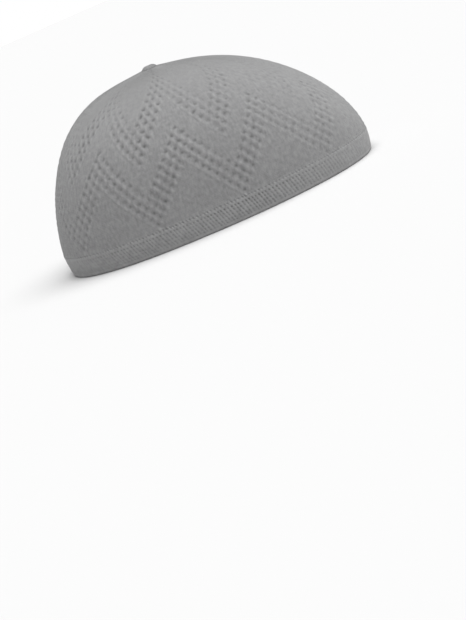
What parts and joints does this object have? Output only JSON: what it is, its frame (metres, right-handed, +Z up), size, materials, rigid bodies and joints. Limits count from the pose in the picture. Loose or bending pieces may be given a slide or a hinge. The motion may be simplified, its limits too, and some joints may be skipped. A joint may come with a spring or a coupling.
{
  "type": "knitted chechia skull cap",
  "caption": "Close-fitting seamless knitted skull cap: a domed crown with stacked zigzags of eyelets, a turned ribbed hem round the head opening and a small drawn-up knot at the top.",
  "frame": {"origin": "middle of the rim, in the plane that the cap rests on", "axes": "+Z up through the crown, -Y to the front of the cap, +X to the wearer's left"},
  "size_m": [0.1651, 0.2044, 0.1006],
  "materials": {
    "crown_knit": "matt fine knit, mid grey, with a soft sheen at a low angle",
    "hem_knit": "matt fine rib knit, mid grey",
    "knot_knit": "matt gathered knit, mid grey"
  },
  "bodies": {
    "root": {"crown": "crown_knit", "band": "hem_knit", "top_knot": "knot_knit"}
  },
  "joints": []
}
